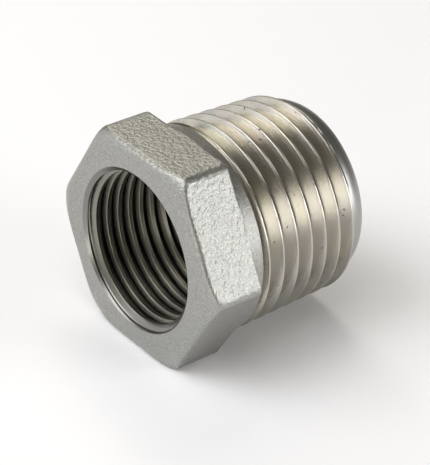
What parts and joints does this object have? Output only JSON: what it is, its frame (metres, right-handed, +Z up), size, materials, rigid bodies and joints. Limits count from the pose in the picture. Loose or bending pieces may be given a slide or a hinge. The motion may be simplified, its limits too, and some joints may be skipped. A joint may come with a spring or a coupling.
{
  "type": "hexagon reducing bushing for pipe",
  "caption": "Cast hexagon reducing bushing: a tapered outside thread for half inch pipe and a parallel inside thread for three eighths pipe.",
  "frame": {"origin": "on the pipe axis, at the front face of the hexagon head", "axes": "+X along the pipe axis from the head's front face to the free end of the outside thread, +Z up through the middle of a flat, as the part lies on the opposite flat"},
  "size_m": [0.0212, 0.0246, 0.0216],
  "materials": {
    "body": "satin"
  },
  "bodies": {
    "root": {"reducer": "body"}
  },
  "joints": []
}
